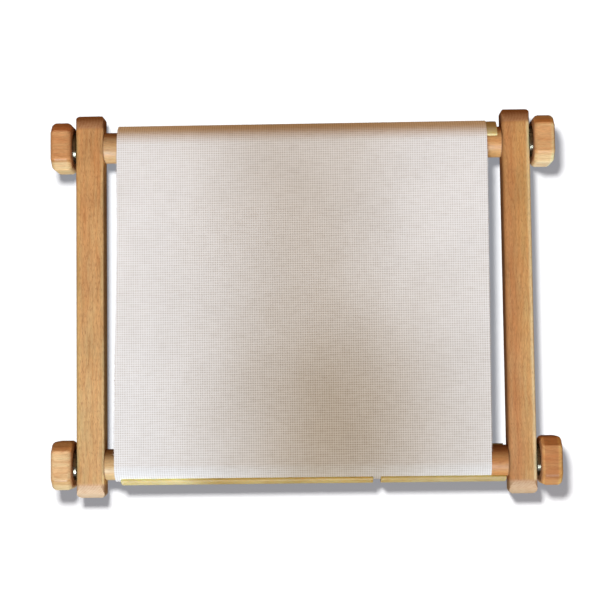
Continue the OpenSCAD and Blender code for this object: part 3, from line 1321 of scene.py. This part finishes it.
@dataclass
class Knobs(OnAxes):
    """The four square knobs that clamp the rollers."""

    size: float = 38.0
    depth: float = 16.5
    arris: float = 1.5
    inner_x: float = 183.0

    # Painted light and shade: the upper cut face of each knob darkens into its top, which turns
    # from the light, and the lower one, which faces the light, is painted paler; some knobs' rims
    # are painted paler too.
    blocks = {
        (Side.LEFT, End.TOP): Block(21.0, srgb(214, 160, 106), srgb(190, 128, 78), (
            Tint(1, 136.0, 139.0, (1.45, 1.38, 1.50)),
            Tint(1, 140.0, 142.5, (0.74, 0.80, 0.80)),
            Tint(1, 115.2, 114.4, (0.76, 0.76, 0.64)),
            Tint(1, 114.0, 112.2, (1.28, 1.70, 2.40)),
            Tint(1, 108.6, 107.8, (1.25, 1.30, 1.35)))),
        (Side.RIGHT, End.TOP): Block(33.0, srgb(220, 170, 116), srgb(196, 138, 86), (
            Tint(1, 136.0, 139.0, (1.45, 1.45, 1.35)),
            Tint(1, 140.0, 142.5, (0.82, 1.0, 1.25)),
            Tint(1, 114.9, 113.1, (1.0, 1.25, 1.45)),
            Tint(1, 108.6, 107.8, (1.30, 1.45, 1.75)),
            Tint(0, 195.0, 197.8, (1.15, 1.5, 1.7)))),
        (Side.LEFT, End.BOTTOM): Block(41.0, srgb(233, 200, 150), srgb(208, 156, 104), (
            Tint(1, -111.0, -113.6, (1.50, 1.40, 1.40)),
            Tint(1, -115.0, -117.2, (0.64, 0.67, 0.66)),
            Tint(1, -135.8, -138.0, (0.71, 0.67, 0.57)),
            Tint(1, -139.0, -143.5, (1.08, 1.24, 1.50)))),
        (Side.RIGHT, End.BOTTOM): Block(57.0, srgb(197, 140, 87), srgb(169, 108, 62), (
            Tint(1, -107.2, -108.6, (1.60, 1.85, 2.20)),
            Tint(1, -114.6, -116.6, (0.59, 0.49, 0.41)),
            Tint(1, -135.8, -137.6, (0.80, 0.74, 0.64)),
            Tint(1, -139.0, -143.0, (1.15, 1.30, 1.40)),
            Tint(0, 194.5, 197.6, (1.4, 1.8, 1.7)),
            Tint(0, 185.7, 184.9, (1.3, 1.5, 1.6)))),
    }

    def dress(self, effects: Effects) -> None:
        """Finishes each knob in the tone of its own block of beech and rounds its edges.

        Args:
            effects: The shared effects.
        """
        middle = self.inner_x + self.depth / 2
        for (side, end), block in self.blocks.items():
            node = corner_name(side, end, "knob")
            finish = Beech(
                name=f"{node}_beech", grain=GrainAxis.ALONG_X, block=block,
                ray=srgb(160, 96, 56),
                centre=(side.value * middle, end.value * self.axis_y, self.axis_z),
                half=(self.depth / 2, self.size / 2, self.size / 2),
                end_from=self.depth / 2 - 0.5, bands=0.65, flecks=0.2)
            dress(node, finish.material(effects))
            round_edges(node, self.arris)


@dataclass
class Hardware(OnAxes):
    """Studs, washers and the knobs' threaded inserts."""

    root_radius: float = 2.45
    crest_radius: float = 2.98
    pitch: float = 1.0
    rings_a_turn: int = 6

    def dress(self, effects: Effects, tools: Toolbox) -> None:
        """Finishes washers and inserts, and makes the threaded studs.

        Args:
            effects: The shared effects.
            tools: The Geometry Nodes tools.
        """
        axis = (self.axis_y, self.axis_z)
        plate = Metal("plated_steel", srgb(118, 112, 98), srgb(52, 46, 36), 0.15,
                      TurnedBy.LATHE, axis).material(effects)
        steel = Metal("zinc_steel", srgb(196, 196, 190), srgb(140, 136, 122), 0.3,
                      TurnedBy.DIE, axis).material(effects)
        brass = Metal("brass", srgb(222, 184, 112), srgb(150, 112, 60), 0.28,
                      TurnedBy.LATHE, axis).material(effects)
        for side, end in [(side, end) for end in End for side in Side]:
            dress(corner_name(side, end, "washer"), plate)
            dress(corner_name(side, end, "insert"), brass)
            self.thread_stud(side, end, steel, tools)

    def thread_stud(self, side: Side, end: End, steel: bpy.types.Material,
                    tools: Toolbox) -> None:
        """Makes a threaded stud in the place of the plain one.

        Args:
            side: Which side.
            end: Which roller it is in.
            steel: Its finish.
            tools: The Geometry Nodes tools.
        """
        node = corner_name(side, end, "stud")
        low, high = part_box(node)
        turns = abs(high.x - low.x) / (self.pitch * MM)
        piece = tools.thread.run(
            f"{node}_thread", steel, From=low.x, To=high.x,
            Axis_Y=end.value * self.axis_y * MM, Axis_Z=self.axis_z * MM,
            Root_Radius=self.root_radius * MM, Crest_Radius=self.crest_radius * MM,
            Pitch=self.pitch * MM, Rings=int(turns * self.rings_a_turn))
        smooth(piece, crease=70.0)
        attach(piece, f"{end.name.lower()}_roller_body")
        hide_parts(node)
        LOG.info("%s stands for %s", piece.name, node)


@dataclass
class TubeClips:
    """The four tube clips that hold the cloth on the rollers."""

    nodes: tuple[str, ...] = ("top_long_clip", "top_short_clip", "bottom_long_clip",
                              "bottom_short_clip")
    arris: float = 0.5

    def dress(self, effects: Effects) -> None:
        """Finishes the clips in one plastic and rounds their edges.

        Args:
            effects: The shared effects.
        """
        plastic = TubePlastic().material(effects)
        for node in self.nodes:
            dress(node, plastic)
            round_edges(node, self.arris)


@dataclass(frozen=True)
class Winding:
    """One stretch of wound cloth, by its angles from straight up, outwards, in radians.

    The radii are those of its outer face. The threads are counted from thread_start, and
    thread_scale stretches the count, which runs back where it is negative.
    """

    name: str
    start: float
    stop: float
    first_radius: float
    last_radius: float
    rings: int
    thread_start: float = 0.0
    thread_scale: float = 1.0


def shell_faces(rows: int, columns: int) -> list[tuple[int, ...]]:
    """Lists the faces of a closed sheet: upper points row by row, then the lower ones.

    Args:
        rows: Rows of points.
        columns: Columns of points.

    Returns:
        The faces, which all point outwards.
    """
    under = rows * columns
    faces = []
    for first in range(0, under - columns, columns):
        for a in range(first, first + columns - 1):
            b, c, d = a + 1, a + 1 + columns, a + columns
            faces.append((a, b, c, d))
            faces.append((a + under, d + under, c + under, b + under))
    left = list(range(0, under, columns))
    far = list(range(under - columns, under))
    right = [point + columns - 1 for point in reversed(left)]
    near = list(reversed(range(columns)))
    for rim in (left, far, right, near):
        faces += [(p, q, q + under, p + under) for p, q in zip(rim, rim[1:])]
    return faces


@dataclass
class Cloth(OnAxes):
    """The canvas: a stretched span and what is wound on each roller."""

    top_radius: float = 17.15
    bottom_radius: float = 13.62
    roller_radius: float = 12.25
    thickness: float = 0.6
    thinnest: float = 0.03
    layer: float = 0.7
    thread_pitch: float = 1.8
    top_left: float = -146.6
    top_right: float = 146.0
    bottom_left: float = -150.2
    bottom_right: float = 144.8
    waist: float = 1.2
    ramp_start: float = 197.0
    ramp_stop: float = 367.0
    columns: int = 60
    middle_rows: int = 45
    middle_inset: float = 10.0
    fringe_inset: float = 8.0
    # Room between the inmost turn and the wood, between two turns, and under the ramp's foot.
    wood_gap: float = 0.03
    turn_gap: float = 0.05
    ramp_gap: float = 0.02

    # Rows of points near each winding, by their distance from the line where they touch.
    near_rows = (0.0, 0.6, 1.2, 1.8, 2.4, 3.0, 3.8, 4.8, 6.0, 8.0)
    # Width and length that each piece was cut to.
    cut_width = 294.5
    top_cut = (292.6, 315.0)
    bottom_cut = (295.0, 164.5)

    @property
    def slope(self) -> float:
        """Slope of the span, which touches both wound radii, in radians."""
        return math.asin((self.top_radius - self.bottom_radius) / (2 * self.axis_y))

    @property
    def span(self) -> float:
        """Length of the stretched span between the lines where it touches."""
        return 2 * self.axis_y * math.cos(self.slope)

    def build(self, effects: Effects, tools: Toolbox) -> list[bpy.types.Object]:
        """Makes the span, both windings and the loose threads.

        Args:
            effects: The shared effects.
            tools: The Geometry Nodes tools.

        Returns:
            The pieces.
        """
        cotton = CottonCanvas().material(effects)
        span = self.stretched(cotton)
        self.finish(span, "frame", "canvas", (self.cut_width, self.span),
                    ["canvas_top_wound", "canvas_bottom_wound"])
        top = self.wound(End.TOP, self.top_windings(), cotton, tools)
        self.finish(top, "top_roller_body", "canvas_top_wrap", self.top_cut,
                    ["top_roller", "top_long_clip", "top_short_clip"])
        bottom = self.wound(End.BOTTOM, self.bottom_windings(), cotton, tools)
        self.finish(bottom, "bottom_roller_body", "canvas_bottom_wrap", self.bottom_cut,
                    ["bottom_roller", "bottom_long_clip", "bottom_short_clip"])
        loose = self.loose_threads(cotton, tools)
        LOG.info("%s, %s, %s and %s are woven", span.name, top.name, bottom.name, loose.name)
        return [span, top, bottom, loose]

    def finish(self, piece: bpy.types.Object, body: str, node: str, cut: tuple[float, float],
               rests_on: list[str]) -> None:
        """Puts a piece of cloth on its body and declares its cut size.

        Args:
            piece: The piece.
            body: The body it rides on.
            node: The node it stands for.
            cut: Its flat width and length; not used.
            rests_on: What it lies on; not used.
        """
        smooth(piece)
        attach(piece, body)
        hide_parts(node)

    def point(self, gone: float, x: float, below: float = 0.0) -> Vector:
        """Finds a point of the span.

        Args:
            gone: How far it is up the span from the bottom winding.
            x: How far it is across.
            below: How far it is under the upper face.

        Returns:
            The point in metres.
        """
        along = Vector((0.0, math.cos(self.slope), math.sin(self.slope)))
        normal = Vector((0.0, -math.sin(self.slope), math.cos(self.slope)))
        axis = Vector((x, -self.axis_y, self.axis_z))
        return (axis + normal * (self.bottom_radius - below) + along * gone) * MM

    def edges(self, gone: float) -> tuple[float, float]:
        """Places of the span's cut edges, of which the left one is drawn in a little.

        Args:
            gone: How far up the span from the bottom winding.

        Returns:
            The left and the right edge.
        """
        share = gone / self.span
        drawn = self.waist * math.sin(math.pi * share ** 1.7) ** 2
        return (self.bottom_left + (self.top_left - self.bottom_left) * share + drawn,
                self.bottom_right + (self.top_right - self.bottom_right) * share)

    @staticmethod
    def clearance(gone: float, radius: float) -> float:
        """Room between the span's face and a winding's face.

        Args:
            gone: Distance from the line where they touch.
            radius: The winding's radius.

        Returns:
            The room.
        """
        return radius - math.sqrt(radius * radius - gone * gone) if gone < radius else radius

    def stretched(self, cotton: bpy.types.Material) -> bpy.types.Object:
        """Makes the span, whose underside thins out where it meets each winding.

        Args:
            cotton: The cloth's material.

        Returns:
            The span.
        """
        inner = self.span - 2 * self.middle_inset
        middle = [self.middle_inset + i * inner / (self.middle_rows - 1)
                  for i in range(self.middle_rows)]
        rows = [*self.near_rows, *middle, *[self.span - s for s in reversed(self.near_rows)]]
        upper, lower, threads = [], [], []
        for gone in rows:
            left, right = self.edges(gone)
            depth = min(self.thickness, self.clearance(gone, self.bottom_radius),
                        self.clearance(self.span - gone, self.top_radius))
            for i in range(self.columns + 1):
                x = left + (right - left) * i / self.columns
                upper.append(tuple(self.point(gone, x)))
                lower.append(tuple(self.point(gone, x, max(depth, self.thinnest))))
                threads.append(((x - self.bottom_left) / self.thread_pitch,
                                gone / self.thread_pitch))
        mesh = bpy.data.meshes.new("canvas_span")
        mesh.from_pydata(upper + lower, [], shell_faces(len(rows), self.columns + 1))
        uv = mesh.uv_layers.new(name="UVMap")
        for loop in mesh.loops:
            uv.data[loop.index].uv = threads[loop.vertex_index % len(threads)]
        mesh.materials.append(cotton)
        mesh.validate()
        return stand("canvas_span", mesh)

    def loose_threads(self, cotton: bpy.types.Material, tools: Toolbox) -> bpy.types.Object:
        """Makes the ends of weft that stick out of the span's cut edges.

        Args:
            cotton: The cloth's material.
            tools: The Geometry Nodes tools.

        Returns:
            The threads, as one piece.
        """
        length = self.span - 2 * self.fringe_inset
        count = int(length / (self.thread_pitch / 4))
        parts = []
        for number, side in enumerate(Side):
            points = []
            for i in range(count):
                gone = self.fringe_inset + i * length / count
                x = self.edges(gone)[number] + side.value * 0.1
                points.append(tuple(self.point(gone, x, self.thickness / 2)))
            base = bpy.data.meshes.new("edge_points")
            base.from_pydata(points, [], [])
            parts.append(tools.ends.run(f"edge_{number}", cotton, base,
                                        Out=(float(side.value), 0.0, 0.0), Seed=7 + number))
        piece = join("canvas_loose_threads", parts)
        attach(piece, "frame")
        return piece

    def top_windings(self) -> list[Winding]:
        """Lists what is wound on the top roller.

        Returns:
            The turn over the clips, the ramp and the turns under them.
        """
        count, scale = self.whole_threads(self.top_radius)
        start = -self.slope - math.pi
        sleeve = self.roller_radius + 2 * self.layer
        ramp_start, ramp_stop = math.radians(self.ramp_start), math.radians(self.ramp_stop)
        return [
            Winding("outer", start, start + 2 * math.pi, self.top_radius, self.top_radius,
                    rings=120, thread_start=self.span / self.thread_pitch - count / 2,
                    thread_scale=scale),
            Winding("ramp", ramp_start, ramp_stop, self.top_radius - self.thickness, sleeve,
                    rings=40),
            Winding("inner", ramp_stop, ramp_stop + 4 * math.pi, sleeve - self.ramp_gap,
                    self.roller_radius + self.thickness + self.wood_gap, rings=150),
        ]

    def bottom_windings(self) -> list[Winding]:
        """Lists what is wound on the bottom roller.

        Returns:
            The two turns under the clips.
        """
        count, scale = self.whole_threads(self.bottom_radius)
        start = self.slope - math.pi
        return [
            Winding("outer", start, start + 2 * math.pi, self.bottom_radius,
                    self.bottom_radius, rings=120, thread_start=count / 2,
                    thread_scale=-scale),
            Winding("inner", 0.0, 2 * math.pi,
                    self.bottom_radius - self.thickness - self.turn_gap,
                    self.roller_radius + self.thickness + self.wood_gap, rings=80,
                    thread_scale=-1.0),
        ]

    def whole_threads(self, radius: float) -> tuple[int, float]:
        """Fits a whole number of threads round a winding, so that the weave meets itself.

        Args:
            radius: The winding's radius.

        Returns:
            The threads round it, and how much that stretches them.
        """
        around = 2 * math.pi * radius
        count = round(around / self.thread_pitch)
        return count, count * self.thread_pitch / around

    def wound(self, end: End, windings: list[Winding], cotton: bpy.types.Material,
              tools: Toolbox) -> bpy.types.Object:
        """Makes what is wound on one roller.

        Args:
            end: Which roller.
            windings: Its stretches of cloth.
            cotton: The cloth's material.
            tools: The Geometry Nodes tools.

        Returns:
            The windings, as one piece.
        """
        left, right = self.edges(0.0 if end is End.BOTTOM else self.span)
        parts = [tools.wound.run(
            winding.name, cotton, Left=left * MM, Right=right * MM,
            Axis_Y=end.value * self.axis_y * MM, Axis_Z=self.axis_z * MM,
            Way=float(end.value), Start_Angle=winding.start, Stop_Angle=winding.stop,
            Start_Radius=winding.first_radius * MM, Stop_Radius=winding.last_radius * MM,
            Thickness=self.thickness * MM, Thread_Pitch=self.thread_pitch * MM,
            Thread_Start=winding.thread_start, Thread_Scale=winding.thread_scale,
            Rings=winding.rings, Columns=self.columns) for winding in windings]
        return join(f"canvas_{end.name.lower()}_wound", parts)


@dataclass(frozen=True)
class Lamp:
    """A soft round light: its place and diameter, its power in watts and its colour."""

    name: str
    place: Triple
    size: float
    power: float
    colour: Colour = WHITE

    def hang(self, aim: bool = True) -> bpy.types.Object:
        """Hangs the lamp.

        Args:
            aim: Whether it shines at the object's middle, and not straight down.

        Returns:
            The lamp.
        """
        data = bpy.data.lights.new(self.name, "AREA")
        data.shape = "DISK"
        data.size = self.size * MM
        data.energy = self.power
        data.color = self.colour
        lamp = stand(self.name, data)
        lamp.location = Vector(self.place) * MM
        if aim:
            lamp.rotation_euler = (-lamp.location).to_track_quat("-Z", "Y").to_euler()
        return lamp


@dataclass
class Studio:
    """Floor, lights and camera of the photograph."""

    camera_place: Triple = (21.44, -68.38, 1104.38)
    camera_turn: Triple = (3.6984, 1.3494, -0.7159)
    lens: float = 81.987
    film: float = 36.0
    floor_size: float = 6000.0
    floor_lamp: Lamp = Lamp("floor_light", (-165.0, 352.0, 1104.0), 240.0, 97.0)
    key_lamp: Lamp = Lamp("key_light", (-320.0, -3500.0, 3000.0), 1800.0, 328.0,
                          (0.71, 0.865, 0.985))
    bounce_lamp: Lamp = Lamp("bounce_light", (0.0, 2200.0, 450.0), 1000.0, 13.0,
                             (1.0, 0.63, 0.29))
    ambient: Colour = (0.42, 0.25, 0.14)
    backdrop: Colour = (0.9, 0.9, 0.9)
    shadow: Colour = (0.268, 0.282, 0.313)

    def build(self, cloth: list[bpy.types.Object]) -> None:
        """Makes the stage, the lights and the camera.

        Args:
            cloth: The pieces of cloth, which get a bounce of their own.
        """
        self.lights(self.floor(), cloth)
        self.sky()
        self.camera()
        bpy.context.scene.view_settings.view_transform = "Standard"

    def floor(self) -> bpy.types.Object:
        """Makes the pale floor, which is just white under its own lamp wherever it is lit.

        Returns:
            The floor.
        """
        half = self.floor_size * MM / 2
        mesh = bpy.data.meshes.new("floor")
        mesh.from_pydata([(-half, -half, 0), (half, -half, 0), (half, half, 0),
                          (-half, half, 0)], [], [(0, 1, 2, 3)])
        g = Coat("floor_paper")
        x, y, height = Vector(self.floor_lamp.place) * MM
        away = g.vector("LENGTH", g.vector("SUBTRACT", g.place, (x, y, 0.0)))
        # Light on the floor falls off as the fourth power of the cosine at the lamp.
        even = g.math("POWER", g.math("DIVIDE", away, height), 2.0)
        even = g.math("POWER", g.plus(even, 1.0), 2.0)
        tone = g.span(g.noise(g.place, 3.0), 0.3, 0.7, 0.099, 0.101)
        level = g.math("MINIMUM", g.times(tone, even), 0.8)
        far = g.span(g.vector("LENGTH", g.place), 0.45, 1.8)
        g.feed(g.shader.inputs["Base Color"], g.grey(level))
        g.feed(g.shader.inputs["Emission Color"], g.blend(far, self.shadow, self.backdrop))
        g.plain(Roughness=0.9, Specular_IOR_Level=0.0, Emission_Strength=1.0)
        mesh.materials.append(g.material)
        piece = stand("floor", mesh)
        piece.visible_diffuse = False
        piece.visible_glossy = False
        return piece

    def lights(self, floor: bpy.types.Object, cloth: list[bpy.types.Object]) -> None:
        """Makes the floor's own light and the soft lights on the object.

        Args:
            floor: The floor, which only its own light reaches.
            cloth: The pieces of cloth, which a warm bounce reaches.
        """
        clips = [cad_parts[node] for node in TubeClips.nodes]
        shade = self.floor_lamp.hang(aim=False)
        shade.light_linking.receiver_collection = self.listed("floor_only", [floor])
        key = self.key_lamp.hang()
        key.light_linking.receiver_collection = self.listed("all_but_floor", [floor], True)
        key.light_linking.blocker_collection = self.listed("all_but_clips", clips, True)
        bounce = self.bounce_lamp.hang()
        bounce.light_linking.receiver_collection = self.listed("cloth_only", cloth)

    @staticmethod
    def listed(name: str, pieces: list[bpy.types.Object],
               but: bool = False) -> bpy.types.Collection:
        """Lists what a light is linked to.

        Args:
            name: The list's name.
            pieces: The pieces on it.
            but: Whether it stands for everything but those pieces.

        Returns:
            The list, as a collection outside the scene.
        """
        collection = bpy.data.collections.new(name)
        for number, piece in enumerate(pieces):
            collection.objects.link(piece)
            if but:
                collection.collection_objects[number].light_linking.link_state = "EXCLUDE"
        return collection

    def sky(self) -> None:
        """Makes the room's dim warm light, stronger from above, behind a pale backdrop."""
        world = bpy.data.worlds.new("room")
        world.use_nodes = True
        g = Graph(world.node_tree)
        up = g.split(g.add("ShaderNodeTexCoord").outputs["Generated"])[2]
        colour = g.tinted(self.ambient, g.grey(g.span(up, -0.4, 0.9, 0.17, 1.0)))
        seen = g.add("ShaderNodeLightPath").outputs["Is Camera Ray"]
        colour = g.blend(seen, colour, self.backdrop)
        g.feed(world.node_tree.nodes["Background"].inputs["Color"], colour)
        bpy.context.scene.world = world

    def camera(self) -> None:
        """Puts the camera where the photograph was taken from."""
        data = bpy.data.cameras.new("camera")
        data.lens = self.lens
        data.sensor_width = self.film
        camera = stand("camera", data)
        camera.location = Vector(self.camera_place) * MM
        camera.rotation_euler = Euler([math.radians(turn) for turn in self.camera_turn], "XYZ")
        bpy.context.scene.camera = camera


def main() -> None:
    """Dresses the frame piece by piece."""
    logging.basicConfig(level=logging.INFO, format="%(name)s: %(message)s")
    effects = Effects.build()
    tools = Toolbox.build()
    SideBars().dress(effects)
    Rollers().dress(effects)
    Knobs().dress(effects)
    Hardware().dress(effects, tools)
    TubeClips().dress(effects)
    cloth = Cloth().build(effects, tools)
    Studio().build(cloth)


if __name__ == "__main__":
    main()
